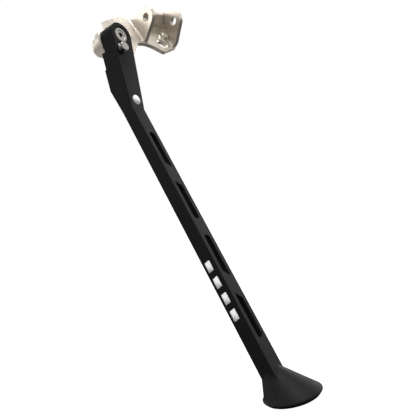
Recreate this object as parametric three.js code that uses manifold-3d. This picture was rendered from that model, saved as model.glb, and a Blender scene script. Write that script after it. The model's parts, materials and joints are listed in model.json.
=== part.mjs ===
// Motorcycle side stand, deployed. Millimetres, +X outward, +Y to the rear, +Z up.
// The origin is on the back of the base plate, the face that sits against the motorcycle's frame.
// Everything is drawn in the leg's frame: x parallel to the pivot axis with 0 on the outer face of
// the leg's head, y to the rear, z up along the head. One group then tips it to the deployed angle.
import * as THREE from "three";
import { ConvexGeometry } from "three/addons/geometries/ConvexGeometry.js";
import { mergeVertices } from "three/addons/utils/BufferGeometryUtils.js";
import Module from "manifold-3d";

const wasm = await Module();
wasm.setup();

// Lean of the whole stand.
const HEAD_RAKE = 19;
const PIVOT_TILT = 11;

// Leg: a flat-sided billet bent outward below the head.
const HEAD_THICKNESS = 22;
const HEAD_RADIUS = 13.4;
const PIVOT = { y: -2, z: -0.8 };
const SHAFT_WIDTH = 17.2;
const OUTER_BEND = 83;
const BACK_BEND = 57;
const BEND_ANGLE = THREE.MathUtils.degToRad(17.5);
const SHAFT_LENGTH = 309.4;
const RELIEF_DEPTH = 1.7;
const RELIEF_END = 34;
const RECESS_RADIUS = 19.6;
const RECESS_DEPTH = 6;

// Lightening slots in the shaft.
const SLOT_COUNT = 4;
const SLOT_START = 32;
const SLOT_PITCH = 60.7;
const SLOT_LENGTH = 42.7;
const SLOT_WIDTH = 7.2;
const SLOT_SLANT = 4.6;

// Foot.
const FOOT_RADIUS = 24.2;
const FOOT_RIM = 4.2;
const FOOT_SHOULDER = 1.6;
const FOOT_DEPTH = 2;
const FOOT_OFFSET = 3.6;
const FLARE_OUTER_FRONT = 294;
const FLARE_OUTER_REAR = 284;
const FLARE_BACK_FRONT = 290;
const FLARE_BACK_REAR = 281;

// Pivot.
const BOLT_HEAD_RADIUS = 8;
const BOLT_HEAD_DEPTH = 2.4;
const BOLT_INSET = 0.6;
const SOCKET_FLATS = 5;
const SOCKET_DEPTH = 4.2;
const SHOULDER_RADIUS = 6;
const THREAD_RADIUS = 4.9;
const BUSH_RADIUS = 7.5;
const HUB_FLANGE_RADIUS = 15.2;
const HUB_FLANGE = 7;
const HUB_RADIUS = 8.2;
const HUB_END = -36;
const BOLT_END = -37.2;

// Bracket: welded plates.
const PLATE = 4.5;
const PIVOT_PLATE = 6;
const PIVOT_PLATE_FACE = -24;
const LOBE_RADIUS = 12.5;
const EAR_1 = 9.7;
const EAR_2 = 49.3;
const EAR_HOLE = { v: 19.6, n: 20, radius: 4.7 };
const EAR_LOBE_RADIUS = 11.5;
const BASE_HOLE = { u: 35.3, v: 1.3, radius: 5.7 };
const BAR = { low: 29.5, high: 42.8, ledge: 6.2, top: 10.6, corner: 4.5 };
const SEAT = { u: 25, v: 19 };
const SEAM = 0.3;
const RUNNING_GAP = 0.3;

// Corner where the base plate meets the pivot plate, and the base plate's axes.
const CORNER = new THREE.Vector3(PIVOT_PLATE_FACE, 51.2, 19.5);
const ACROSS = new THREE.Vector3(0.175, 0.978, 0.11).normalize();
const ROUGH_UP = new THREE.Vector3(-0.334, -0.046, 0.942);
const OUT = new THREE.Vector3().crossVectors(ACROSS, ROUGH_UP).normalize();
const UP = new THREE.Vector3().crossVectors(OUT, ACROSS);
const BASE_FRAME = new THREE.Matrix4().makeBasis(ACROSS, UP, OUT).setPosition(CORNER);

const BLACK = new THREE.MeshStandardMaterial({ color: 0x1a1a1c, roughness: 0.55, metalness: 0.6 });
const NICKEL = new THREE.MeshStandardMaterial({ color: 0xc9c0b2, roughness: 0.35, metalness: 0.9 });
const ZINC = new THREE.MeshStandardMaterial({ color: 0xb4b3ae, roughness: 0.3, metalness: 0.9 });
const BRONZE = new THREE.MeshStandardMaterial({ color: 0xa37a3f, roughness: 0.45, metalness: 0.8 });

function solid(geometry) {
  const bare = geometry.clone();
  bare.deleteAttribute("normal");
  bare.deleteAttribute("uv");
  const welded = mergeVertices(bare, 1e-4);
  const vertProperties = new Float32Array(welded.attributes.position.array);
  const triVerts = new Uint32Array(welded.index.array);
  return new wasm.Manifold(new wasm.Mesh({ numProp: 3, vertProperties, triVerts }));
}

function meshOf(name, shape, material) {
  const result = shape.getMesh();
  const geometry = new THREE.BufferGeometry();
  geometry.setAttribute("position", new THREE.BufferAttribute(result.vertProperties, 3));
  geometry.setIndex(new THREE.BufferAttribute(result.triVerts, 1));
  const flat = geometry.toNonIndexed();
  flat.computeVertexNormals();
  const mesh = new THREE.Mesh(flat, material);
  mesh.name = name;
  return mesh;
}

function extrude(shape, depth, segments = 12) {
  return new THREE.ExtrudeGeometry(shape, { depth, bevelEnabled: false, curveSegments: segments });
}

// A (y, z) outline pushed along x, from x0 to x1.
function alongPivot(shape, x0, x1, segments) {
  const geometry = extrude(shape, x1 - x0, segments);
  const turn = new THREE.Matrix4().makeBasis(
    new THREE.Vector3(0, 1, 0),
    new THREE.Vector3(0, 0, 1),
    new THREE.Vector3(1, 0, 0),
  );
  geometry.applyMatrix4(turn.setPosition(x0, 0, 0));
  return solid(geometry);
}

// A turned piece parallel to x from [radius, x] corners, centred on (y, z).
function turned(corners, y = PIVOT.y, z = PIVOT.z, segments = 40) {
  const points = corners.map(([radius, x]) => new THREE.Vector2(radius, x));
  points.push(points[0].clone());
  const geometry = new THREE.LatheGeometry(points, segments);
  const turn = new THREE.Matrix4().makeBasis(
    new THREE.Vector3(0, 1, 0),
    new THREE.Vector3(1, 0, 0),
    new THREE.Vector3(0, 0, -1),
  );
  geometry.applyMatrix4(turn.setPosition(0, y, z));
  return solid(geometry);
}

function rod(radius, x0, x1, y = PIVOT.y, z = PIVOT.z, segments = 40) {
  return turned([[0, x0], [radius, x0], [radius, x1], [0, x1]], y, z, segments);
}

// An outline in the base plate's own plane, between two heights above its face.
function onBase(shape, low, high) {
  const geometry = extrude(shape, high - low);
  geometry.applyMatrix4(new THREE.Matrix4().makeTranslation(0, 0, low));
  geometry.applyMatrix4(BASE_FRAME);
  return solid(geometry);
}

// Straight part and bent part of the leg share this change of direction.
function alongShaft(distance, depth) {
  const x = distance * Math.sin(BEND_ANGLE) - depth * Math.cos(BEND_ANGLE);
  const z = -OUTER_BEND - distance * Math.cos(BEND_ANGLE) - depth * Math.sin(BEND_ANGLE);
  return new THREE.Vector2(x, z);
}

const shaftThickness =
  HEAD_THICKNESS * Math.cos(BEND_ANGLE) - (OUTER_BEND - BACK_BEND) * Math.sin(BEND_ANGLE);

// Side outline of the leg in (x, z), pushed across the whole width.
function legSide() {
  const shape = new THREE.Shape();
  shape.moveTo(0, HEAD_RADIUS);
  shape.lineTo(-HEAD_THICKNESS + RELIEF_DEPTH, HEAD_RADIUS);
  shape.lineTo(-HEAD_THICKNESS + RELIEF_DEPTH, -RELIEF_END);
  shape.lineTo(-HEAD_THICKNESS, -RELIEF_END);
  shape.lineTo(-HEAD_THICKNESS, -BACK_BEND);
  const backEnd = alongShaft(SHAFT_LENGTH, shaftThickness);
  const outerEnd = alongShaft(SHAFT_LENGTH, 0);
  shape.lineTo(backEnd.x, backEnd.y);
  shape.lineTo(outerEnd.x, outerEnd.y);
  shape.lineTo(0, -OUTER_BEND);
  shape.closePath();
  const width = 2 * HEAD_RADIUS + 6;
  const geometry = extrude(shape, width);
  const turn = new THREE.Matrix4().makeBasis(
    new THREE.Vector3(1, 0, 0),
    new THREE.Vector3(0, 0, 1),
    new THREE.Vector3(0, -1, 0),
  );
  geometry.applyMatrix4(turn.setPosition(0, width / 2, 0));
  return solid(geometry);
}

// Front outline of the leg in (y, z): round lobe at the pivot, tapering into the shaft.
function legFront() {
  const half = SHAFT_WIDTH / 2;
  const rearTaper = Math.atan2(HEAD_RADIUS + PIVOT.y - half, OUTER_BEND);
  const frontTaper = Math.atan2(HEAD_RADIUS - PIVOT.y - half, OUTER_BEND);
  const reach = OUTER_BEND + SHAFT_LENGTH;
  const shape = new THREE.Shape();
  shape.moveTo(half, -reach);
  shape.lineTo(half, -OUTER_BEND);
  shape.absarc(PIVOT.y, PIVOT.z, HEAD_RADIUS, -rearTaper, Math.PI + frontTaper, false);
  shape.lineTo(-half, -OUTER_BEND);
  shape.lineTo(-half, -reach);
  shape.closePath();
  return alongPivot(shape, -HEAD_THICKNESS - 1, SHAFT_LENGTH, 24);
}

// One slot: a half-round end and a slanted end. Neighbours are mirror images of each other.
function slot(index) {
  const half = SLOT_WIDTH / 2;
  const mirrored = index % 2 === 1;
  const near = SLOT_START + index * SLOT_PITCH;
  const far = near + SLOT_LENGTH;
  const round = mirrored ? far - half : near + half;
  const slant = mirrored ? near : far;
  const inward = mirrored ? SLOT_SLANT : -SLOT_SLANT;
  const shape = new THREE.Shape();
  if (mirrored) {
    shape.moveTo(half, slant + inward);
    shape.lineTo(half, round);
    shape.absarc(0, round, half, 0, Math.PI, false);
    shape.lineTo(-half, slant);
  } else {
    shape.moveTo(-half, slant + inward);
    shape.lineTo(-half, round);
    shape.absarc(0, round, half, Math.PI, 2 * Math.PI, false);
    shape.lineTo(half, slant);
  }
  shape.closePath();
  const depth = shaftThickness + 4;
  const geometry = extrude(shape, depth, 10);
  geometry.applyMatrix4(new THREE.Matrix4().makeTranslation(0, 0, -depth / 2 - shaftThickness / 2));
  const down = new THREE.Vector3(Math.sin(BEND_ANGLE), 0, -Math.cos(BEND_ANGLE));
  const outward = new THREE.Vector3(Math.cos(BEND_ANGLE), 0, Math.sin(BEND_ANGLE));
  const across = new THREE.Vector3().crossVectors(down, outward);
  const place = new THREE.Matrix4().makeBasis(across, down, outward);
  geometry.applyMatrix4(place.setPosition(0, 0, -OUTER_BEND));
  return solid(geometry);
}

// Direction of the ground seen from the pivot frame.
const lean = new THREE.Euler(
  THREE.MathUtils.degToRad(-HEAD_RAKE),
  THREE.MathUtils.degToRad(-PIVOT_TILT),
  0,
  "YXZ",
);
const leanTurn = new THREE.Quaternion().setFromEuler(lean);
const groundUp = new THREE.Vector3(0, 0, 1).applyQuaternion(leanTurn.clone().invert());
const footEnd = alongShaft(SHAFT_LENGTH, FOOT_DEPTH);
const footCentre = new THREE.Vector3(footEnd.x, FOOT_OFFSET, footEnd.y);
const toGround = new THREE.Quaternion().setFromUnitVectors(new THREE.Vector3(0, 1, 0), groundUp);

function upright(geometry) {
  geometry.applyQuaternion(toGround);
  geometry.translate(footCentre.x, footCentre.y, footCentre.z);
  return solid(geometry);
}

// Everything of the leg that would reach below the ground is cut off by this block.
function belowGround() {
  const block = new THREE.BoxGeometry(200, 100, 200);
  block.translate(0, -50, 0);
  return upright(block);
}

// Round ground pad with a rolled rim.
function footPad() {
  const outline = [
    new THREE.Vector2(0, 0),
    new THREE.Vector2(FOOT_RADIUS - 2, 0),
    new THREE.Vector2(FOOT_RADIUS - 0.4, 0.9),
    new THREE.Vector2(FOOT_RADIUS, 2),
    new THREE.Vector2(FOOT_RADIUS - 0.4, 3.2),
    new THREE.Vector2(FOOT_RADIUS - FOOT_SHOULDER, FOOT_RIM),
    new THREE.Vector2(0, FOOT_RIM),
    new THREE.Vector2(0, 0),
  ];
  return upright(new THREE.LatheGeometry(outline, 64));
}

function shaftPoint(distance, depth, y) {
  const spot = alongShaft(distance, depth);
  return new THREE.Vector3(spot.x, y, spot.y);
}

// The shaft flares into the pad: the skin stretched over the pad's rim and the shaft's four edges.
function footFlare() {
  const half = SHAFT_WIDTH / 2;
  const points = [
    shaftPoint(FLARE_OUTER_FRONT, 0, -half),
    shaftPoint(FLARE_OUTER_REAR, 0, half),
    shaftPoint(FLARE_BACK_FRONT, shaftThickness, -half),
    shaftPoint(FLARE_BACK_REAR, shaftThickness, half),
  ];
  const rimRadius = FOOT_RADIUS - FOOT_SHOULDER;
  const rim = new THREE.EllipseCurve(0, 0, rimRadius, rimRadius);
  for (const spot of rim.getPoints(64).slice(1)) {
    const point = new THREE.Vector3(spot.x, FOOT_RIM - 0.2, spot.y);
    points.push(point.applyQuaternion(toGround).add(footCentre));
  }
  return solid(new ConvexGeometry(points));
}

const POST = { y: -6.2, z: -18.4, radius: 5, neck: 3.1, thread: 2.9 };
const RECESS_FLOOR = -HEAD_THICKNESS + RECESS_DEPTH;

function makeLeg() {
  let leg = legSide().intersect(legFront());
  leg = leg.subtract(belowGround());
  leg = leg.add(footPad()).add(footFlare());
  leg = leg.subtract(rod(RECESS_RADIUS, -HEAD_THICKNESS - 2, RECESS_FLOOR, PIVOT.y, PIVOT.z, 56));
  const bore = BUSH_RADIUS + 0.1;
  leg = leg.subtract(rod(bore, -HEAD_THICKNESS - 2, 2));
  leg = leg.subtract(rod(BOLT_HEAD_RADIUS + RUNNING_GAP, -BOLT_INSET - BOLT_HEAD_DEPTH - 0.4, 2));
  leg = leg.subtract(rod(POST.thread + 0.1, -10.5, 2, POST.y, POST.z, 24));
  for (let index = 0; index < SLOT_COUNT; index += 1) {
    leg = leg.subtract(slot(index));
  }
  return leg;
}

// Countersunk shoulder screw with a hexagon socket, threaded into the bracket's hub.
function makeBolt() {
  const under = -BOLT_INSET - BOLT_HEAD_DEPTH;
  const shoulderEnd = PIVOT_PLATE_FACE + HUB_FLANGE;
  const body = turned([
    [0, BOLT_END],
    [THREAD_RADIUS - 0.8, BOLT_END],
    [THREAD_RADIUS, BOLT_END + 0.8],
    [THREAD_RADIUS, shoulderEnd + 0.1],
    [SHOULDER_RADIUS, shoulderEnd + 0.1],
    [SHOULDER_RADIUS, under],
    [BOLT_HEAD_RADIUS, under + 2],
    [BOLT_HEAD_RADIUS, -BOLT_INSET - 0.3],
    [BOLT_HEAD_RADIUS - 0.3, -BOLT_INSET],
    [0, -BOLT_INSET],
  ]);
  const corner = SOCKET_FLATS / Math.sqrt(3);
  return body.subtract(rod(corner, -BOLT_INSET - SOCKET_DEPTH, 1, PIVOT.y, PIVOT.z, 6));
}

function makeBush() {
  const start = -BOLT_INSET - BOLT_HEAD_DEPTH - 0.5;
  return turned([
    [SHOULDER_RADIUS + 0.15, RECESS_FLOOR],
    [BUSH_RADIUS, RECESS_FLOOR],
    [BUSH_RADIUS, start],
    [SHOULDER_RADIUS + 0.15, start],
  ]);
}

function makeThrustWasher() {
  const outer = PIVOT_PLATE_FACE + HUB_FLANGE;
  return turned([
    [SHOULDER_RADIUS + 0.2, outer + 0.15],
    [12, outer + 0.15],
    [12, RECESS_FLOOR - 0.15],
    [SHOULDER_RADIUS + 0.2, RECESS_FLOOR - 0.15],
  ]);
}

function makeHub() {
  const face = PIVOT_PLATE_FACE + HUB_FLANGE;
  return turned([
    [THREAD_RADIUS + 0.1, HUB_END],
    [HUB_RADIUS - 1, HUB_END],
    [HUB_RADIUS, HUB_END + 1],
    [HUB_RADIUS, PIVOT_PLATE_FACE + SEAM],
    [HUB_FLANGE_RADIUS, PIVOT_PLATE_FACE + SEAM],
    [HUB_FLANGE_RADIUS, face - 0.8],
    [HUB_FLANGE_RADIUS - 0.8, face],
    [THREAD_RADIUS + 0.1, face],
  ], PIVOT.y, PIVOT.z, 56);
}

// Spring post screwed into the head: thread, collar, neck for the spring's hook, head.
function makeSpringPost() {
  return turned([
    [0, -10],
    [POST.thread, -10],
    [POST.thread, SEAM],
    [POST.radius, SEAM],
    [POST.radius, 1],
    [POST.neck, 1.6],
    [POST.neck, 3.2],
    [POST.radius, 3.8],
    [POST.radius, 4.8],
    [POST.radius - 0.8, 5.4],
    [0, 5.4],
  ], POST.y, POST.z, 32);
}

// Pivot plate in (y, z): lobe round the hub, then a blade running up to the base plate.
function makePivotPlate() {
  const shape = new THREE.Shape();
  const lobe = [150, 282].map(THREE.MathUtils.degToRad);
  shape.absarc(PIVOT.y, PIVOT.z, LOBE_RADIUS, ...lobe, false);
  shape.lineTo(41, 3.1);
  shape.lineTo(51.2, 19.5);
  shape.lineTo(17.6, 39.6);
  shape.lineTo(17.6, 25);
  shape.closePath();
  const hole = rod(HUB_RADIUS + SEAM, PIVOT_PLATE_FACE - 20, 0);
  return alongPivot(shape, PIVOT_PLATE_FACE - PIVOT_PLATE, PIVOT_PLATE_FACE, 20).subtract(hole);
}

// Base plate in its own plane: u across, v up. A lobe surrounds the large hole.
function makeBasePlate(pivotPlate) {
  const shape = new THREE.Shape();
  const right = EAR_2 + PLATE;
  shape.moveTo(-14.5, 34.4);
  shape.lineTo(0, 0);
  shape.lineTo(9, 0.4);
  shape.quadraticCurveTo(16, -0.4, 22, -5.2);
  shape.lineTo(28.4, -10);
  shape.quadraticCurveTo(30.6, -11.8, 33, -10.4);
  shape.lineTo(right, -0.9);
  shape.lineTo(right, 48.5);
  shape.lineTo(EAR_2 - 3, 48.5);
  shape.lineTo(EAR_2 - 7, BAR.high + 0.5);
  shape.lineTo(EAR_1 + 3, BAR.high + 0.5);
  shape.lineTo(EAR_1, 40.2);
  shape.lineTo(4.7, 40.4);
  shape.lineTo(-1.2, 44.4);
  shape.lineTo(-14.5, 38.6);
  shape.closePath();
  const plate = onBase(shape, -PLATE, 0);
  const hole = new THREE.Shape();
  hole.absarc(BASE_HOLE.u, BASE_HOLE.v, BASE_HOLE.radius, 0, 2 * Math.PI, false);
  const grown = pivotPlate.add(pivotPlate.translate(SEAM, 0, 0)).add(pivotPlate.translate(-SEAM, 0, 0));
  const cleared = plate.subtract(onBase(hole, -PLATE - 1, 1));
  return cleared.subtract(grown.add(grown.translate(0, SEAM, SEAM)));
}

// Ears stand on the base plate; their outline is in (v, n), pushed along u.
function ear(shape, u, length = PLATE) {
  const geometry = extrude(shape, length, 20);
  const turn = new THREE.Matrix4().makeBasis(
    new THREE.Vector3(0, 1, 0),
    new THREE.Vector3(0, 0, 1),
    new THREE.Vector3(1, 0, 0),
  );
  geometry.applyMatrix4(turn.setPosition(u, 0, 0));
  geometry.applyMatrix4(BASE_FRAME);
  return solid(geometry);
}

function earHole() {
  const shape = new THREE.Shape();
  shape.absarc(EAR_HOLE.v, EAR_HOLE.n, EAR_HOLE.radius, 0, 2 * Math.PI, false);
  return shape;
}

function makeEar1() {
  const shape = new THREE.Shape();
  shape.moveTo(39.6, SEAM);
  shape.lineTo(37, 11.5);
  const start = THREE.MathUtils.degToRad(35);
  shape.absarc(EAR_HOLE.v, EAR_HOLE.n, EAR_LOBE_RADIUS, start, THREE.MathUtils.degToRad(172), false);
  shape.lineTo(2.4, SEAM);
  shape.closePath();
  shape.holes.push(earHole());
  return ear(shape, EAR_1);
}

function makeEar2() {
  const shape = new THREE.Shape();
  shape.moveTo(48.5, SEAM);
  shape.lineTo(48.5, 7);
  const start = THREE.MathUtils.degToRad(46);
  shape.absarc(EAR_HOLE.v, EAR_HOLE.n, EAR_LOBE_RADIUS, start, THREE.MathUtils.degToRad(160), false);
  shape.lineTo(-0.4, 6);
  shape.lineTo(-0.9, SEAM);
  shape.closePath();
  shape.holes.push(earHole());
  return ear(shape, EAR_2);
}

// Hump-backed bar between the ears, along the top end of the base plate.
function makeCrossBar() {
  const shape = new THREE.Shape();
  shape.moveTo(BAR.low, SEAM);
  shape.lineTo(BAR.high, SEAM);
  shape.absarc(BAR.high - BAR.corner, BAR.top, BAR.corner, 0, THREE.MathUtils.degToRad(125), false);
  shape.lineTo(BAR.low, BAR.ledge);
  shape.closePath();
  const start = EAR_1 + PLATE + SEAM;
  return ear(shape, start, EAR_2 - SEAM - start);
}

// Block that bridges the wedge between the pivot plate and the base plate; its end is the stop face.
function makeBridge(basePlate) {
  const shape = new THREE.Shape();
  const inner = PIVOT_PLATE_FACE - PIVOT_PLATE - SEAM;
  shape.moveTo(inner, 32.5);
  shape.lineTo(inner, 40.9);
  shape.lineTo(-42.4, 44.2);
  shape.lineTo(-40.7, 35.6);
  shape.closePath();
  const geometry = extrude(shape, 19);
  const turn = new THREE.Matrix4().makeBasis(
    new THREE.Vector3(1, 0, 0),
    new THREE.Vector3(0, 0, 1),
    new THREE.Vector3(0, -1, 0),
  );
  geometry.applyMatrix4(turn.setPosition(0, 36.8, 0));
  const grown = basePlate.add(basePlate.translate(0, -SEAM, 0)).add(basePlate.translate(SEAM, 0, 0));
  return solid(geometry).subtract(grown);
}

function turnedOnBase(corners, u, v, segments = 32) {
  const points = corners.map(([radius, n]) => new THREE.Vector2(radius, n));
  points.push(points[0].clone());
  const geometry = new THREE.LatheGeometry(points, segments);
  geometry.rotateX(Math.PI / 2);
  geometry.translate(u, v, 0);
  geometry.applyMatrix4(BASE_FRAME);
  return solid(geometry);
}

// Low solid boss with a rounded rim, between the large hole and the rear ear.
const BOSS = { u: 44, v: 14, corners: [[0, SEAM], [4.8, SEAM], [4.8, 3.2], [4, 4.2], [0, 4.2]] };

const leg = makeLeg();
const pivotPlate = makePivotPlate();
const basePlate = makeBasePlate(pivotPlate);

const pieces = [
  meshOf("leg", leg, BLACK),
  meshOf("leg_bush", makeBush(), BRONZE),
  meshOf("leg_spring_post", makeSpringPost(), ZINC),
  meshOf("pivot_bolt", makeBolt(), ZINC),
  meshOf("thrust_washer", makeThrustWasher(), ZINC),
  meshOf("pivot_hub", makeHub(), NICKEL),
  meshOf("pivot_plate", pivotPlate, NICKEL),
  meshOf("base_plate", basePlate, NICKEL),
  meshOf("bridge_block", makeBridge(basePlate), NICKEL),
  meshOf("ear_front", makeEar1(), NICKEL),
  meshOf("ear_rear", makeEar2(), NICKEL),
  meshOf("base_boss", turnedOnBase(BOSS.corners, BOSS.u, BOSS.v), NICKEL),
  meshOf("cross_bar", makeCrossBar(), NICKEL),
];

const stand = new THREE.Group();
stand.name = "side_stand";
stand.add(...pieces);
stand.setRotationFromEuler(lean);
const seat = new THREE.Vector3(SEAT.u, SEAT.v, -PLATE).applyMatrix4(BASE_FRAME);
stand.position.copy(seat.applyEuler(lean).negate());

export default stand;
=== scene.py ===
import json
from math import cos, pi, radians, sin, tau

import bmesh
import bpy
from mathutils import Matrix, Vector


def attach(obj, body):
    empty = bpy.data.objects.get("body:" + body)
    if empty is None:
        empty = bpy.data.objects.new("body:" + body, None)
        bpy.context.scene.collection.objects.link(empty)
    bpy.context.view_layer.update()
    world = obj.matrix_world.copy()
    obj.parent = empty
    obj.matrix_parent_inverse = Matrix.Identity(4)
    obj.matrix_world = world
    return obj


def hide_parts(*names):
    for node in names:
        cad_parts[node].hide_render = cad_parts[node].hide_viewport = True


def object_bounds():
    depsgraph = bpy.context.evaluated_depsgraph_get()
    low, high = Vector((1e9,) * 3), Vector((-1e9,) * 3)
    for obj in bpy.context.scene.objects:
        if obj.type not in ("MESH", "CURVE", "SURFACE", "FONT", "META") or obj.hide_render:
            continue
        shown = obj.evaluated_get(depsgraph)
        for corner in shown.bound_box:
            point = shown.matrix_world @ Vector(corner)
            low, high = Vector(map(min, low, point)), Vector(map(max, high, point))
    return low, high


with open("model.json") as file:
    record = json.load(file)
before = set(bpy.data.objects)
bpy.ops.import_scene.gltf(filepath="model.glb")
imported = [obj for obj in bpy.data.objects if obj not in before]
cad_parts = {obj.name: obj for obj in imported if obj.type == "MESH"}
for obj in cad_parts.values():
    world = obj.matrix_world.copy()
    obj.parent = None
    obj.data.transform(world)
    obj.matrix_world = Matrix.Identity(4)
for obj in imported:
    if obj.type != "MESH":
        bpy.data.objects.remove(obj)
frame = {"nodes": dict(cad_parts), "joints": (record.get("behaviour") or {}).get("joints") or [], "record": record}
cad_low, cad_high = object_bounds()


# ---------------------------------------------------------------------------------------------
# Studio: a wide pale floor at the height of the foot, a bright room and two soft boxes.
# The camera stands in front of the stand and a little to its outer side, below the pivot.
# ---------------------------------------------------------------------------------------------
FLOOR = {"radius": 40.0, "sides": 64, "gap": 0.0002, "grey": 0.12, "glow": 1.0}
# Painted shade: the floor the metal mirrors and bounces light from is dark under the leg and paler from there
# towards the motorcycle, so down-facing edges come out dark.
FLOOR_PAINTED_SHADE = {"dark_x": 0.0, "pale_x": -0.1, "dark": 0.04, "pale": 0.35}
ROOM_WHITE = (1.0, 1.0, 1.0)
# The room's brightness by direction, as (share of the way, brightness): from straight down to
# straight up, and from the front to the rear. The two are multiplied.
HEIGHT_STEPS = ((0.0, 0.2), (0.35, 0.3), (0.46, 0.5), (0.54, 0.85), (0.62, 1.5), (0.68, 1.5),
                (0.77, 0.8), (1.0, 0.3))
DEPTH_STEPS = ((0.0, 0.42), (0.16, 0.5), (0.24, 0.9), (0.34, 1.0), (0.7, 1.0), (0.88, 0.8),
               (0.96, 2.2), (1.0, 2.2))
CAMERA = {
    "place": (0.467639, -0.656863, -0.131438),
    "turn": (84.4716, 15.0963, 32.8513),
    "lens": 60.58,
    "sensor": 36,
    "shift": (-0.0012, 0.0012),
}
# Each box: name, place, size, power and tint.
SOFT_BOXES = (
    ("left_soft_box", (-1.4, -0.62, 0.75), (0.9, 0.5), 3.0, (1.0, 0.97, 0.93)),
    ("top_soft_box", (0.04, 0.53, 1.64), (0.9, 0.9), 45.0, (1.0, 1.0, 1.0)),
)

scene = bpy.context.scene
scene.view_settings.view_transform = "Standard"
stand_middle = (cad_low + cad_high) / 2

camera_data = bpy.data.cameras.new("studio_camera")
camera_data.lens = CAMERA["lens"]
camera_data.sensor_width = CAMERA["sensor"]
camera_data.shift_x, camera_data.shift_y = CAMERA["shift"]
camera = bpy.data.objects.new("studio_camera", camera_data)
camera.location = CAMERA["place"]
camera.rotation_euler = [radians(angle) for angle in CAMERA["turn"]]
scene.collection.objects.link(camera)
scene.camera = camera


def fill_ramp(ramp, steps):
    """Sets a colour ramp to grey steps given as (place, brightness)."""
    elements = ramp.color_ramp.elements
    while len(elements) < len(steps):
        elements.new(0.5)
    for element, (place, grey) in zip(elements, steps):
        element.position = place
        element.color = (grey, grey, grey, 1)


def light_room():
    world = bpy.data.worlds.new("studio_room")
    world.use_nodes = True
    nodes, links = world.node_tree.nodes, world.node_tree.links
    nodes.clear()
    direction = nodes.new("ShaderNodeTexCoord")
    split = nodes.new("ShaderNodeSeparateXYZ")
    links.new(direction.outputs["Generated"], split.inputs[0])
    greys = []
    for axis, steps in (("Z", HEIGHT_STEPS), ("Y", DEPTH_STEPS)):
        share = nodes.new("ShaderNodeMapRange")
        share.inputs["From Min"].default_value = -1
        ramp = nodes.new("ShaderNodeValToRGB")
        fill_ramp(ramp, steps)
        links.new(split.outputs[axis], share.inputs["Value"])
        links.new(share.outputs["Result"], ramp.inputs["Fac"])
        greys.append(ramp)
    room = nodes.new("ShaderNodeVectorMath")
    room.operation = "MULTIPLY"
    links.new(greys[0].outputs["Color"], room.inputs[0])
    links.new(greys[1].outputs["Color"], room.inputs[1])
    lit = nodes.new("ShaderNodeBackground")
    links.new(room.outputs["Vector"], lit.inputs["Color"])
    seen = nodes.new("ShaderNodeBackground")
    seen.inputs["Color"].default_value = (*ROOM_WHITE, 1)
    path = nodes.new("ShaderNodeLightPath")
    mix = nodes.new("ShaderNodeMixShader")
    links.new(path.outputs["Is Camera Ray"], mix.inputs["Fac"])
    links.new(lit.outputs[0], mix.inputs[1])
    links.new(seen.outputs[0], mix.inputs[2])
    output = nodes.new("ShaderNodeOutputWorld")
    links.new(mix.outputs[0], output.inputs["Surface"])
    scene.world = world


def hang_soft_box(name, place, size, power, tint):
    data = bpy.data.lights.new(name, "AREA")
    data.shape = "RECTANGLE"
    data.size, data.size_y = size
    data.energy = power
    data.color = tint
    box = bpy.data.objects.new(name, data)
    box.location = place
    aim = Vector(stand_middle) - Vector(place)
    box.rotation_euler = aim.to_track_quat("-Z", "Y").to_euler()
    scene.collection.objects.link(box)


def lay_floor():
    mesh = bpy.data.meshes.new("studio_floor")
    angles = [tau * i / FLOOR["sides"] for i in range(FLOOR["sides"])]
    height = cad_low.z - FLOOR["gap"]
    rim = [(FLOOR["radius"] * cos(a), FLOOR["radius"] * sin(a), height) for a in angles]
    mesh.from_pydata(rim, [], [range(FLOOR["sides"])])
    floor = bpy.data.objects.new("studio_floor", mesh)
    scene.collection.objects.link(floor)
    paint = bpy.data.materials.new("floor_paint")
    paint.use_nodes = True
    nodes, links = paint.node_tree.nodes, paint.node_tree.links
    nodes.clear()
    pale = nodes.new("ShaderNodeBsdfDiffuse")
    pale.inputs["Color"].default_value = (FLOOR["grey"], FLOOR["grey"], FLOOR["grey"], 1)
    glow = nodes.new("ShaderNodeEmission")
    glow.inputs["Strength"].default_value = FLOOR["glow"]
    backlit = nodes.new("ShaderNodeAddShader")
    links.new(pale.outputs[0], backlit.inputs[0])
    links.new(glow.outputs[0], backlit.inputs[1])
    # Painted shade, seen only by reflections and bounce light: darker under the leg, paler towards the motorcycle.
    reflected_shade = nodes.new("ShaderNodeBsdfDiffuse")
    spot = nodes.new("ShaderNodeSeparateXYZ")
    links.new(nodes.new("ShaderNodeNewGeometry").outputs["Position"], spot.inputs[0])
    shade_by_place = nodes.new("ShaderNodeMapRange")
    shade_by_place.inputs["From Min"].default_value = FLOOR_PAINTED_SHADE["dark_x"]
    shade_by_place.inputs["From Max"].default_value = FLOOR_PAINTED_SHADE["pale_x"]
    shade_by_place.inputs["To Min"].default_value = FLOOR_PAINTED_SHADE["dark"]
    shade_by_place.inputs["To Max"].default_value = FLOOR_PAINTED_SHADE["pale"]
    links.new(spot.outputs["X"], shade_by_place.inputs["Value"])
    links.new(shade_by_place.outputs["Result"], reflected_shade.inputs["Color"])
    path = nodes.new("ShaderNodeLightPath")
    mix = nodes.new("ShaderNodeMixShader")
    links.new(path.outputs["Is Camera Ray"], mix.inputs["Fac"])
    links.new(reflected_shade.outputs[0], mix.inputs[1])
    links.new(backlit.outputs[0], mix.inputs[2])
    output = nodes.new("ShaderNodeOutputMaterial")
    links.new(mix.outputs[0], output.inputs["Surface"])
    mesh.materials.append(paint)


light_room()
for soft_box in SOFT_BOXES:
    hang_soft_box(*soft_box)
lay_floor()


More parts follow.
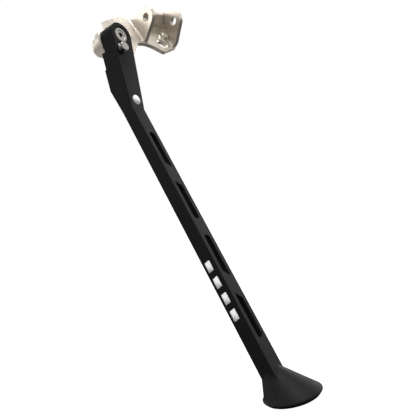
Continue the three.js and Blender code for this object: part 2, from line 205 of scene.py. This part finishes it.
# ---------------------------------------------------------------------------------------------
# Leg: one billet of aluminium, flat-sided, bent outward below its round head, with four
# lightening slots milled through the shaft. Bead-blasted and anodised black.
# ---------------------------------------------------------------------------------------------
MM = 0.001
HEAD_RAKE = radians(-19)
PIVOT_TILT = radians(-11)
HEAD_THICKNESS = 22
HEAD_RADIUS = 13.4
PIVOT_SPOT = (-2.0, -0.8)
SHAFT_WIDTH = 17.2
OUTER_BEND = 83
BACK_BEND = 57
BEND = radians(17.5)
SHAFT_END = 300
RELIEF_DEPTH = 1.7
RELIEF_END = 34
HUB_RECESS = {"radius": 19.6, "depth": 6.0}
SLOT = {"count": 4, "start": 32, "pitch": 60.7, "length": 42.7, "width": 7.2, "slant": 4.6}
BORE_RADIUS = 7.6
BOLT_POCKET = {"radius": 8.4, "depth": 3.4}
POST_SPOT = (-6.2, -18.4)
POST_BORE = {"radius": 3.0, "depth": 10.5, "steps": 48}
SIDE_MARGIN = 3  # how far the blank's sides stand past the head, before they are milled
LOBE_ARC = (-1.9, 184.7)  # degrees round the head, from the rear flank to the front flank
CUT_MARGIN = 2  # how far a cutter stands past the surface it cuts
LEG_EDGE = 0.5
SHAFT_THICKNESS = HEAD_THICKNESS * cos(BEND) - (OUTER_BEND - BACK_BEND) * sin(BEND)

X, Y, Z = Vector((1, 0, 0)), Vector((0, 1, 0)), Vector((0, 0, 1))
DOWN_SHAFT = Vector((sin(BEND), 0, -cos(BEND)))
OFF_SHAFT = Vector((cos(BEND), 0, sin(BEND)))
swing = frame["joints"][0]
lean = Matrix.Rotation(PIVOT_TILT, 4, "Y") @ Matrix.Rotation(HEAD_RAKE, 4, "X")
leg_frame = Matrix.Translation(swing["pos_m"]) @ lean @ Matrix.Scale(MM, 4)
leg_frame @= Matrix.Translation((0, -PIVOT_SPOT[0], -PIVOT_SPOT[1]))


def axes(first, second, third):
    """A turn that takes x, y and z to the three given directions."""
    return Matrix((first, second, third)).transposed().to_4x4()


side_view = leg_frame @ axes(X, Z, Y)
face_view = leg_frame @ axes(Y, Z, X)
pivot_view = leg_frame @ Matrix.Translation((0, *PIVOT_SPOT)) @ axes(Y, Z, X)
shaft_view = leg_frame @ Matrix.Translation((0, 0, -OUTER_BEND)) @ axes(Y, DOWN_SHAFT, OFF_SHAFT)


def arc(centre, radius, start, end, steps):
    """Points along a circle's arc, angles in degrees."""
    turn = radians(end - start) / steps
    angles = [radians(start) + turn * i for i in range(steps + 1)]
    return [(centre[0] + radius * cos(a), centre[1] + radius * sin(a)) for a in angles]


def solid(name, points, faces):
    mesh = bpy.data.meshes.new(name)
    mesh.from_pydata(points, [], [list(face) for face in faces])
    shell = bmesh.new()
    shell.from_mesh(mesh)
    bmesh.ops.recalc_face_normals(shell, faces=shell.faces)
    shell.to_mesh(mesh)
    shell.free()
    mesh.shade_smooth()
    piece = bpy.data.objects.new(name, mesh)
    scene.collection.objects.link(piece)
    return piece


def prism(name, outline, place, low, high):
    """An outline in place's first two directions, pushed along its third, in millimetres."""
    count = len(outline)
    points = [place @ Vector((a, b, c)) for c in (low, high) for a, b in outline]
    walls = [(i, (i + 1) % count, (i + 1) % count + count, i + count) for i in range(count)]
    return solid(name, points, [range(count), range(count, 2 * count), *walls])


def turned(name, profile, place, steps=96):
    """A lathe-turned solid from (radius, height) corners that start and end on the axis."""
    rings = profile[1:-1]
    points = [place @ Vector((0, 0, profile[0][1])), place @ Vector((0, 0, profile[-1][1]))]
    for radius, height in rings:
        points += [place @ Vector((x, y, height)) for x, y in arc((0, 0), radius, 0, 360, steps)[:-1]]
    faces = []
    last = 2 + (len(rings) - 1) * steps
    for i in range(steps):
        j = (i + 1) % steps
        faces += [(0, 2 + j, 2 + i), (1, last + i, last + j)]
        for ring in range(len(rings) - 1):
            near, far = 2 + ring * steps, 2 + (ring + 1) * steps
            faces.append((near + i, near + j, far + j, far + i))
    return solid(name, points, faces)


def combine(target, tool, operation):
    """Applies one boolean to target and removes the tool."""
    modifier = target.modifiers.new("join", "BOOLEAN")
    modifier.operation = operation
    modifier.solver = "EXACT"
    modifier.object = tool
    graph = bpy.context.evaluated_depsgraph_get()
    target.data = bpy.data.meshes.new_from_object(target.evaluated_get(graph))
    target.modifiers.clear()
    bpy.data.objects.remove(tool)


def make_all_smooth():
    group = bpy.data.node_groups.new("all_smooth", "GeometryNodeTree")
    group.interface.new_socket("Geometry", in_out="INPUT", socket_type="NodeSocketGeometry")
    group.interface.new_socket("Geometry", in_out="OUTPUT", socket_type="NodeSocketGeometry")
    inside, outside = group.nodes.new("NodeGroupInput"), group.nodes.new("NodeGroupOutput")
    shade = group.nodes.new("GeometryNodeSetShadeSmooth")
    group.links.new(inside.outputs[0], shade.inputs["Geometry"])
    group.links.new(shade.outputs["Geometry"], outside.inputs[0])
    return group


all_smooth = make_all_smooth()


def soften_edges(piece, radius, sharpest=30):
    """Small rounded edges with clean flats, as tumbling or blasting leaves them."""
    merge = piece.modifiers.new("merge", "WELD")
    merge.merge_threshold = 0.002 * MM
    flats = piece.modifiers.new("flats", "DECIMATE")
    flats.decimate_type = "DISSOLVE"
    flats.angle_limit = radians(0.6)
    edge = piece.modifiers.new("edge", "BEVEL")
    edge.width = radius * MM
    edge.segments = 3
    edge.limit_method = "ANGLE"
    edge.angle_limit = radians(sharpest)
    edge.use_clamp_overlap = False
    edge.miter_outer = "MITER_ARC"
    smooth = piece.modifiers.new("smooth", "NODES")
    smooth.node_group = all_smooth
    weigh = piece.modifiers.new("weigh", "WEIGHTED_NORMAL")
    weigh.keep_sharp = False
    weigh.weight = 80


def leg_side():
    """The leg seen from the front: square head, relief behind the pivot, then the bend."""
    relieved = -HEAD_THICKNESS + RELIEF_DEPTH
    run_out = arc((-HEAD_THICKNESS, -RELIEF_END + RELIEF_DEPTH), RELIEF_DEPTH, 0, -90, 6)
    tail = DOWN_SHAFT * SHAFT_END - Z * OUTER_BEND
    back_tail = tail - OFF_SHAFT * SHAFT_THICKNESS
    outline = [(0, HEAD_RADIUS), (relieved, HEAD_RADIUS), *run_out,
               (-HEAD_THICKNESS, -BACK_BEND), (back_tail.x, back_tail.z), (tail.x, tail.z),
               (0, -OUTER_BEND)]
    return prism("leg_billet", outline, side_view, -HEAD_RADIUS - SIDE_MARGIN, HEAD_RADIUS + SIDE_MARGIN)


def leg_face():
    """The leg seen along the pivot: a round lobe that tapers into the parallel shaft."""
    half = SHAFT_WIDTH / 2
    reach = -OUTER_BEND - SHAFT_END
    outline = [(half, reach), (half, -OUTER_BEND)]
    outline += arc(PIVOT_SPOT, HEAD_RADIUS, *LOBE_ARC, 64)
    outline += [(-half, -OUTER_BEND), (-half, reach)]
    return prism("face", outline, face_view, -HEAD_THICKNESS - CUT_MARGIN, SHAFT_END)


def slot_cutter(index):
    """One slot has a round end and a slanted end; the next one is its mirror image."""
    half = SLOT["width"] / 2
    near = SLOT["start"] + index * SLOT["pitch"]
    far = near + SLOT["length"]
    if index % 2:
        outline = [(half, near + SLOT["slant"]), *arc((0, far - half), half, 0, 180, 20), (-half, near)]
    else:
        outline = [(-half, far - SLOT["slant"]), *arc((0, near + half), half, 180, 360, 20), (half, far)]
    return prism("slot", outline, shaft_view, -SHAFT_THICKNESS - CUT_MARGIN, CUT_MARGIN)


def drill(radius, low, high, spot=PIVOT_SPOT, steps=96):
    return prism("drill", arc(spot, radius, 0, 360, steps)[:-1], face_view, low, high)


def mill_leg():
    billet = leg_side()
    combine(billet, leg_face(), "INTERSECT")
    back = -HEAD_THICKNESS - CUT_MARGIN
    recess_floor = -HEAD_THICKNESS + HUB_RECESS["depth"]
    cutters = [
        drill(HUB_RECESS["radius"], back, recess_floor),
        drill(BORE_RADIUS, back, CUT_MARGIN),
        drill(BOLT_POCKET["radius"], -BOLT_POCKET["depth"], CUT_MARGIN),
        drill(POST_BORE["radius"], -POST_BORE["depth"], CUT_MARGIN, POST_SPOT, POST_BORE["steps"]),
    ]
    cutters += [slot_cutter(index) for index in range(SLOT["count"])]
    for cutter in cutters:
        combine(billet, cutter, "DIFFERENCE")
    return billet


def node_group(name, inputs, outputs):
    """An empty shader group with float inputs (name, value) and float outputs."""
    group = bpy.data.node_groups.new(name, "ShaderNodeTree")
    for label, value in inputs:
        socket = group.interface.new_socket(label, in_out="INPUT", socket_type="NodeSocketFloat")
        socket.default_value = value
    for label in outputs:
        group.interface.new_socket(label, in_out="OUTPUT", socket_type="NodeSocketFloat")
    return group, group.nodes.new("NodeGroupInput"), group.nodes.new("NodeGroupOutput")


def value_node(nodes, kind, links, first, second):
    """A Math node whose two inputs are either sockets or numbers."""
    node = nodes.new("ShaderNodeMath")
    node.operation = kind
    for slot_number, source in enumerate((first, second)):
        if isinstance(source, (int, float)):
            node.inputs[slot_number].default_value = source
        else:
            links.new(source, node.inputs[slot_number])
    return node.outputs[0]


def noise_node(nodes, links, place, scale, detail, roughness=0.5):
    """Noise over a point in metres; scale is a number or a socket, in cells per metre."""
    node = nodes.new("ShaderNodeTexNoise")
    node.inputs["Detail"].default_value = detail
    node.inputs["Roughness"].default_value = roughness
    links.new(place, node.inputs["Vector"])
    if isinstance(scale, (int, float)):
        node.inputs["Scale"].default_value = scale
    else:
        links.new(scale, node.inputs["Scale"])
    return node.outputs["Fac"]


def make_blast_grain():
    """Fine pits of a blasted surface, with a slow cloudiness over it."""
    group, inside, outside = node_group(
        "blast_grain", (("Grain Scale", 2600), ("Cloud Scale", 60)), ("Height", "Cloud"))
    nodes, links = group.nodes, group.links
    place = nodes.new("ShaderNodeTexCoord").outputs["Object"]
    fine = noise_node(nodes, links, place, inside.outputs["Grain Scale"], 3, 0.65)
    cloud = noise_node(nodes, links, place, inside.outputs["Cloud Scale"], 4, 0.55)
    links.new(fine, outside.inputs["Height"])
    links.new(cloud, outside.inputs["Cloud"])
    return group


# Gain of the edge mask that paints edges paler: partly rubbed wear, partly painted highlight.
WEAR_AND_HIGHLIGHT_GAIN = 9.0


def make_edge_wear_and_highlight():
    """1 along the outer edges, broken up by noise, and 0 on the flats; it paints the edges paler, partly as rubbed
    wear and partly as a painted highlight.
    """
    group, inside, outside = node_group(
        "edge_wear_and_highlight", (("Reach", 0.0008), ("Breakup Scale", 420), ("Amount", 1)), ("Mask",))
    nodes, links = group.nodes, group.links
    rounded = nodes.new("ShaderNodeBevel")
    rounded.samples = 4
    links.new(inside.outputs["Reach"], rounded.inputs["Radius"])
    geometry = nodes.new("ShaderNodeNewGeometry")
    agreement = nodes.new("ShaderNodeVectorMath")
    agreement.operation = "DOT_PRODUCT"
    links.new(rounded.outputs["Normal"], agreement.inputs[0])
    links.new(geometry.outputs["True Normal"], agreement.inputs[1])
    bend = value_node(nodes, "SUBTRACT", links, 1.0, agreement.outputs["Value"])
    edge = value_node(nodes, "MULTIPLY", links, bend, WEAR_AND_HIGHLIGHT_GAIN)
    place = nodes.new("ShaderNodeTexCoord").outputs["Object"]
    edge_breakup = noise_node(nodes, links, place, inside.outputs["Breakup Scale"], 5, 0.6)
    broken = value_node(nodes, "MULTIPLY", links, edge, edge_breakup)
    scaled = value_node(nodes, "MULTIPLY", links, broken, inside.outputs["Amount"])
    links.new(value_node(nodes, "MINIMUM", links, scaled, 1.0), outside.inputs["Mask"])
    return group


blast_grain = make_blast_grain()
edge_wear_and_highlight = make_edge_wear_and_highlight()


def place_group(tree, group, **values):
    node = tree.nodes.new("ShaderNodeGroup")
    node.node_tree = group
    for label, value in values.items():
        node.inputs[label.replace("_", " ")].default_value = value
    return node


def mix_colour(tree, share, first, second):
    """A colour mix; first and second are colours or sockets."""
    node = tree.nodes.new("ShaderNodeMix")
    node.data_type = "RGBA"
    tree.links.new(share, node.inputs["Factor"])
    for socket, source in ((node.inputs[6], first), (node.inputs[7], second)):
        if isinstance(source, tuple):
            socket.default_value = (*source, 1)
        else:
            tree.links.new(source, socket)
    return node.outputs[2]


def remap(tree, source, low, high, from_low, from_high):
    node = tree.nodes.new("ShaderNodeMapRange")
    node.inputs["From Min"].default_value = from_low
    node.inputs["From Max"].default_value = from_high
    node.inputs["To Min"].default_value = low
    node.inputs["To Max"].default_value = high
    tree.links.new(source, node.inputs["Value"])
    return node.outputs["Result"]


def bump(tree, height, strength, depth):
    node = tree.nodes.new("ShaderNodeBump")
    node.inputs["Strength"].default_value = strength
    node.inputs["Distance"].default_value = depth
    tree.links.new(height, node.inputs["Height"])
    return node.outputs["Normal"]


def start_finish(name, metallic, specular):
    finish = bpy.data.materials.new(name)
    finish.use_nodes = True
    surface = finish.node_tree.nodes["Principled BSDF"]
    surface.inputs["Metallic"].default_value = metallic
    surface.inputs["Specular IOR Level"].default_value = specular
    return finish, finish.node_tree, surface


def make_finish(name, metallic, specular, grain, cloud, dark, pale, rough, pits, pit_depth,
                wear_and_highlight=None, wear_and_highlight_colour=None, cloud_span=(0.3, 0.7)):
    """A surface that drifts between two colours and two roughnesses, with fine pits all over.

    grain and cloud are in cells per metre. The edge mask's values and its colour, when given, paint the edges
    paler, partly as rubbed wear and partly as a painted highlight; a finish without them keeps its edges as they
    are.
    """
    finish, tree, surface = start_finish(name, metallic, specular)
    texture = place_group(tree, blast_grain, Grain_Scale=grain, Cloud_Scale=cloud)
    colour = mix_colour(tree, texture.outputs["Cloud"], dark, pale)
    # The edge mask paints the edges paler: partly rubbed wear, partly painted highlight.
    if wear_and_highlight:
        mask = place_group(tree, edge_wear_and_highlight, **wear_and_highlight).outputs["Mask"]
        colour = mix_colour(tree, mask, colour, wear_and_highlight_colour)
    tree.links.new(colour, surface.inputs["Base Color"])
    satin = remap(tree, texture.outputs["Cloud"], *rough, *cloud_span)
    tree.links.new(satin, surface.inputs["Roughness"])
    tree.links.new(bump(tree, texture.outputs["Height"], pits, pit_depth), surface.inputs["Normal"])
    return finish


# Satin black: faintly cloudy, finely pitted, and a shade paler along its edges, partly as rubbed wear and partly
# as a painted highlight.
black_anodising = make_finish(
    "black_anodising", metallic=0.0, specular=0.03, grain=2400, cloud=45,
    dark=(0.0105, 0.0105, 0.0107), pale=(0.0160, 0.0160, 0.0163),
    rough=(0.36, 0.50), pits=0.16, pit_depth=0.00006,
    wear_and_highlight={"Reach": 0.0009, "Breakup_Scale": 380, "Amount": 0.55}, wear_and_highlight_colour=(0.05, 0.05, 0.051))


def dress(piece, finish, body):
    piece.data.materials.clear()
    piece.data.materials.append(finish)
    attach(piece, body)


leg_billet = mill_leg()
soften_edges(leg_billet, LEG_EDGE)
dress(leg_billet, black_anodising, "leg")
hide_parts("leg")


# ---------------------------------------------------------------------------------------------
# Foot: the round ground pad at the end of the leg, part of the same billet. A leaning cone
# swells out of the shaft's four sides, with a blended valley, down to a rolled rim.
# ---------------------------------------------------------------------------------------------
FOOT_SPOT = {"depth": 2.0, "across": 3.6, "distance": 309.4}
RIM_HEIGHT = 4.2
CONE_RIM = 22.9
CONE_TAPER = 0.789  # how much narrower the cone gets for each millimetre up
CONE_SKEW = 0.095  # how much that differs from one side of the cone to the next
CONE_LEAN = (-0.972, 0.32)  # how far the cone's middle moves sideways for each millimetre up
CONE_TOP = 24.0  # from here up the rings follow the shaft
FOOT_TOP = 40.0
VALLEY = 1.2
SHAFT_CORNER = 0.9
HIDDEN_INSET = 0.06  # keeps the part that runs up the shaft just inside the billet
FOOT_RINGS = 56
FOOT_STEPS = 144
# The rolled rim as (radius, height) corners, downwards.
RIM_PROFILE = ((23.4, 3.85), (23.8, 3.45), (24.1, 3.0), (24.1, 2.6), (23.8, 2.1), (22.3, 0.5),
               (21.9, 0.15), (21.4, 0.0))


def soft_least(a, b, blend):
    share = max(blend - abs(a - b), 0) / blend
    return min(a, b) - share * share * blend / 4


def soft_most(a, b, blend):
    return -soft_least(-a, -b, blend)


def make_foot():
    up = (lean.inverted() @ Z).normalized()
    level_x = (X - up * X.dot(up)).normalized()
    level_y = up.cross(level_x)
    shaft_start = -Z * OUTER_BEND
    middle = -OFF_SHAFT * SHAFT_THICKNESS / 2
    foot = (shaft_start + DOWN_SHAFT * FOOT_SPOT["distance"] - OFF_SHAFT * FOOT_SPOT["depth"]
            + Y * FOOT_SPOT["across"])
    walls = ((OFF_SHAFT, 0), (-OFF_SHAFT, SHAFT_THICKNESS), (Y, SHAFT_WIDTH / 2), (-Y, SHAFT_WIDTH / 2))

    def shaft_middle(height):
        start = shaft_start + middle
        return start + DOWN_SHAFT * ((height - (start - foot).dot(up)) / DOWN_SHAFT.dot(up))

    def shaft_reach(centre, direction):
        reach = 1e3
        for wall, offset in walls:
            slope = direction.dot(wall)
            if slope > 1e-6:
                distance = (offset - (centre - shaft_start).dot(wall)) / slope
                reach = soft_least(reach, distance, SHAFT_CORNER)
        return reach - HIDDEN_INSET

    angles = [tau * step / FOOT_STEPS for step in range(FOOT_STEPS)]
    directions = [level_x * cos(angle) + level_y * sin(angle) for angle in angles]
    lean_per_mm = up + level_x * CONE_LEAN[0] + level_y * CONE_LEAN[1]
    rings = []
    for index in range(FOOT_RINGS + 1):
        height = RIM_HEIGHT + (FOOT_TOP - RIM_HEIGHT) * (1 - index / FOOT_RINGS)
        above = height - RIM_HEIGHT
        centre = foot + up * RIM_HEIGHT + lean_per_mm * above
        if height > CONE_TOP:
            centre = shaft_middle(height)
        ring = []
        for angle, direction in zip(angles, directions):
            taper = CONE_TAPER + CONE_SKEW * cos(angle) * sin(angle)
            cone = CONE_RIM - taper * above
            reach = soft_most(shaft_reach(centre, direction), cone, VALLEY)
            ring.append(centre + direction * reach)
        rings.append(ring)
    for radius, height in RIM_PROFILE:
        spot = foot + up * height
        rings.append([spot + direction * radius for direction in directions])
    points = [leg_frame @ point for ring in rings for point in ring]
    faces = [range(FOOT_STEPS), range((len(rings) - 1) * FOOT_STEPS, len(rings) * FOOT_STEPS)]
    for ring in range(len(rings) - 1):
        near, far = ring * FOOT_STEPS, (ring + 1) * FOOT_STEPS
        for i in range(FOOT_STEPS):
            j = (i + 1) % FOOT_STEPS
            faces.append((near + i, near + j, far + j, far + i))
    return solid("leg_foot", points, faces)


leg_foot = make_foot()
dress(leg_foot, black_anodising, "leg")


# ---------------------------------------------------------------------------------------------
# Marks: plain pale bars on the shaft's front face and one plain dot on the head's outer face,
# laser-etched through the anodising. They are a hair proud, so that they catch the light.
# ---------------------------------------------------------------------------------------------
MARK_DEPTH = 0.3
MARK_PROUD = 0.03
BAR = {"count": 4, "start": 177.6, "length": 10.0, "gap": 6.1, "low": 4.5, "high": 10.3, "corner": 0.8}
DOT = {"across": 0.0, "height": -74.0, "radius": 5.0}

etched_white = make_finish(
    "etched_white", metallic=0.0, specular=0.4, grain=5200, cloud=900,
    dark=(0.80, 0.80, 0.79), pale=(0.98, 0.98, 0.97),
    rough=(0.5, 0.75), pits=0.3, pit_depth=0.00004, cloud_span=(0.0, 1.0))


def rounded_bar(left, right, low, high, corner):
    outline = arc((right - corner, high - corner), corner, 0, 90, 6)
    outline += arc((left + corner, high - corner), corner, 90, 180, 6)
    outline += arc((left + corner, low + corner), corner, 180, 270, 6)
    return outline + arc((right - corner, low + corner), corner, 270, 360, 6)


front_of_shaft = leg_frame @ Matrix.Translation((0, -SHAFT_WIDTH / 2, -OUTER_BEND))
front_of_shaft = front_of_shaft @ axes(DOWN_SHAFT, -OFF_SHAFT, -Y)
for index in range(BAR["count"]):
    start = BAR["start"] + index * (BAR["length"] + BAR["gap"])
    outline = rounded_bar(start, start + BAR["length"], BAR["low"], BAR["high"], BAR["corner"])
    bar = prism(f"shaft_mark_{index + 1}", outline, front_of_shaft, -MARK_DEPTH, MARK_PROUD)
    dress(bar, etched_white, "leg")

dot_outline = arc((DOT["across"], DOT["height"]), DOT["radius"], 0, 360, 64)[:-1]
dot = prism("head_mark", dot_outline, face_view, -MARK_DEPTH, MARK_PROUD)
dress(dot, etched_white, "leg")


# ---------------------------------------------------------------------------------------------
# Bracket plates: laser-cut steel, welded together, tumbled and nickel plated, so every edge is soft. The edges are
# painted slightly brighter than the flats, partly as tumbling wear and partly as a painted highlight.
# ---------------------------------------------------------------------------------------------
PLATE_EDGE = 0.45
NICKEL_PARTS = ("pivot_hub", "pivot_plate", "base_plate", "bridge_block", "ear_front",
                "ear_rear", "base_boss", "cross_bar")

# Warm nickel: satin flats with drifting stain, fine pits, and paler edges that are partly polished wear and partly
# a painted highlight.
tumbled_nickel = make_finish(
    "tumbled_nickel", metallic=0.7, specular=0.5, grain=1500, cloud=110,
    dark=(0.63, 0.565, 0.48), pale=(0.79, 0.73, 0.645),
    rough=(0.3, 0.42), pits=0.12, pit_depth=0.00008,
    wear_and_highlight={"Reach": 0.0007, "Breakup_Scale": 500, "Amount": 0.8}, wear_and_highlight_colour=(0.86, 0.82, 0.76))


def refinish(node_name, finish, edge):
    """A CAD node keeps its shape and gets soft edges and its real finish."""
    node = frame["nodes"][node_name]
    for material_slot in node.material_slots:
        material_slot.material = finish
    soften_edges(node, edge)


for part in NICKEL_PARTS:
    refinish(part, tumbled_nickel, PLATE_EDGE)


# ---------------------------------------------------------------------------------------------
# Weld fillets: small hollow beads of weld metal in the corners where the plates meet, ground
# back by hand, so their width wanders a little. They are plated together with the plates.
# ---------------------------------------------------------------------------------------------
SEAT_SPOT = Vector((25, 19, -4.5))
EAR_FRONT_OUTER = 9.7
EAR_FRONT_INNER = 14.2
EAR_REAR_INNER = 49.3
EAR_FRONT_FOOT = 3.5
EAR_FRONT_TOP = 39
BAR_LOW = 29.5
BAR_WELD_TOP = 6
BOSS_WELD = {"spot": (44, 14), "radius": 4.8, "width": 1.5}
BASE_HOLE_LIP = {"spot": (35.3, 1.3), "radius": 6.5, "width": 1.1, "start": -20, "end": 150}
BEAD_SECTION = 7
BEAD_SINK = 0.4
BEAD_STEP = 1.5
BEAD_WANDER = ((0.07, 1.9, 0), (0.05, 0.7, 1))  # share of the width, rate and phase

mount_axes = {mount["name"]: Vector(mount["axis"]) for mount in frame["record"]["mounts"]}
base_out = -mount_axes["frame_seat"].normalized()
base_across = -mount_axes["ear_front_face"].normalized()
base_up = base_out.cross(base_across)
base_view = axes(base_across, base_up, base_out) @ Matrix.Scale(MM, 4) @ Matrix.Translation(-SEAT_SPOT)


def bead(name, path, width):
    """A hollow fillet along path, a list of (corner, first leg's direction, second leg's)."""
    angles = [pi / 2 * i / (BEAD_SECTION - 1) for i in range(BEAD_SECTION)]
    hollow = [(1 - sin(angle), 1 - cos(angle)) for angle in angles]
    points = []
    for index, (corner, first, second) in enumerate(path):
        wander = sum(share * sin(rate * index + phase) for share, rate, phase in BEAD_WANDER)
        size = width * (1 + wander)
        heel = corner - (first + second) * BEAD_SINK
        face = [corner + first * (a * size) + second * (b * size) for a, b in hollow]
        section = [heel, face[0] - second * BEAD_SINK, *face, face[-1] - first * BEAD_SINK]
        points += [base_view @ point for point in section]
    count = BEAD_SECTION + 3
    faces = [range(count), range(len(points) - count, len(points))]
    for near in range(0, len(points) - count, count):
        for i in range(count):
            j = (i + 1) % count
            faces.append((near + i, near + j, near + count + j, near + count + i))
    piece = solid(name, points, faces)
    dress(piece, tumbled_nickel, "bracket")


def straight_bead(name, start, end, first, second, width):
    start, end = Vector(start), Vector(end)
    steps = max(round((end - start).length / BEAD_STEP), 2)
    path = [(start.lerp(end, i / steps), Vector(first), Vector(second)) for i in range(steps + 1)]
    bead(name, path, width)


def ring_bead(name, spot, radius, width, start=0, end=360, steps=48):
    path = []
    for i in range(steps + 1):
        angle = radians(start + (end - start) * i / steps)
        outward = Vector((cos(angle), sin(angle), 0))
        path.append((Vector((*spot, 0)) + outward * radius, outward, Z))
    bead(name, path, width)


front_corner = (EAR_FRONT_INNER, BAR_LOW, 0)
rear_corner = (EAR_REAR_INNER, BAR_LOW, 0)
# Each bead: name, start, end, the directions of its two legs, and width.
straight_welds = (
    ("weld_ear_front_outer", (EAR_FRONT_OUTER, EAR_FRONT_FOOT, 0), (EAR_FRONT_OUTER, EAR_FRONT_TOP, 0),
     -X, Z, 1.9),
    ("weld_ear_front_inner", (EAR_FRONT_INNER, EAR_FRONT_FOOT, 0), front_corner, X, Z, 1.2),
    ("weld_ear_rear", (EAR_REAR_INNER, 0, 0), rear_corner, -X, Z, 1.8),
    ("weld_cross_bar", front_corner, rear_corner, -Y, Z, 1.7),
    ("weld_bar_front", front_corner, (EAR_FRONT_INNER, BAR_LOW, BAR_WELD_TOP), X, -Y, 1.2),
    ("weld_bar_rear", rear_corner, (EAR_REAR_INNER, BAR_LOW, BAR_WELD_TOP), -X, -Y, 1.2),
)
for weld in straight_welds:
    straight_bead(*weld)
ring_bead("weld_boss", **BOSS_WELD)
ring_bead("base_hole_lip", **BASE_HOLE_LIP)


# ---------------------------------------------------------------------------------------------
# Pivot bolt: a zinc-plated countersunk shoulder screw with a hexagon socket, through the
# leg's bronze bush into the bracket's hub.
# ---------------------------------------------------------------------------------------------
BOLT_FACE = -0.6
BOLT_EDGE = 0.15
TURNED_CORNER = 40  # degrees; gentler corners of a turned piece are left alone
# (radius, height) corners from the inner end to the head, heights from the leg's outer face.
BOLT_PROFILE = ((0, -37.2), (4.1, -37.2), (4.9, -36.4), (4.9, -16.9), (6.0, -16.9), (6.0, -3.0),
                (8.0, -1.2), (8.0, -0.95), (7.7, -0.65), (7.3, -0.6), (5.4, -0.6), (5.1, -0.8),
                (4.8, -1.1), (3.7, -1.1), (0, -1.1))
SOCKET = {"flats": 5.0, "depth": 4.2, "cutter_top": 1}

# Dull grey zinc with slow staining, and paler edges that are partly wear and partly a painted highlight.
grey_zinc = make_finish(
    "grey_zinc", metallic=1.0, specular=0.5, grain=3200, cloud=300,
    dark=(0.19, 0.175, 0.16), pale=(0.31, 0.29, 0.27),
    rough=(0.24, 0.42), pits=0.12, pit_depth=0.00005,
    wear_and_highlight={"Reach": 0.0005, "Breakup_Scale": 700, "Amount": 0.6}, wear_and_highlight_colour=(0.62, 0.60, 0.57))

bolt = turned("pivot_bolt_turned", BOLT_PROFILE, pivot_view)
hexagon = arc((0, 0), SOCKET["flats"] / 2 / cos(pi / 6), 0, 360, 6)[:-1]
socket = prism("socket", hexagon, pivot_view, BOLT_FACE - SOCKET["depth"], SOCKET["cutter_top"])
combine(bolt, socket, "DIFFERENCE")
soften_edges(bolt, BOLT_EDGE, TURNED_CORNER)
dress(bolt, grey_zinc, "bracket")
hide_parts("pivot_bolt")


# ---------------------------------------------------------------------------------------------
# Spring post: a turned zinc-plated bobbin screwed into the head below the pivot. The spring's
# hook sits in its neck.
# ---------------------------------------------------------------------------------------------
POST_EDGE = 0.12
# (radius, height) corners from the threaded end to the outer collar, heights as for the bolt.
POST_PROFILE = ((0, -10), (2.9, -10), (2.9, 0.3), (4.7, 0.3), (5.0, 0.55), (5.0, 1.1), (4.7, 1.35),
                (3.8, 1.55), (3.2, 1.95), (3.1, 2.45), (3.2, 2.95), (3.8, 3.35), (4.7, 3.6),
                (5.0, 3.85), (5.0, 4.7), (4.8, 5.1), (4.4, 5.35), (3.9, 5.4), (0, 5.4))

post_view = leg_frame @ Matrix.Translation((0, *POST_SPOT)) @ axes(Y, Z, X)
post = turned("spring_post_turned", POST_PROFILE, post_view)
soften_edges(post, POST_EDGE, TURNED_CORNER)
dress(post, grey_zinc, "leg")
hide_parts("leg_spring_post")


# ---------------------------------------------------------------------------------------------
# Bush and thrust washer: a plain bronze bush in the leg turns on the bolt's shoulder, and a thin
# zinc-plated washer keeps the leg off the hub.
# ---------------------------------------------------------------------------------------------
BUSH_EDGE = 0.2
WASHER_EDGE = 0.1

bearing_bronze = make_finish(
    "bearing_bronze", metallic=1.0, specular=0.5, grain=2800, cloud=260,
    dark=(0.42, 0.25, 0.09), pale=(0.60, 0.40, 0.18),
    rough=(0.28, 0.5), pits=0.1, pit_depth=0.00005)

refinish("leg_bush", bearing_bronze, BUSH_EDGE)
refinish("thrust_washer", grey_zinc, WASHER_EDGE)
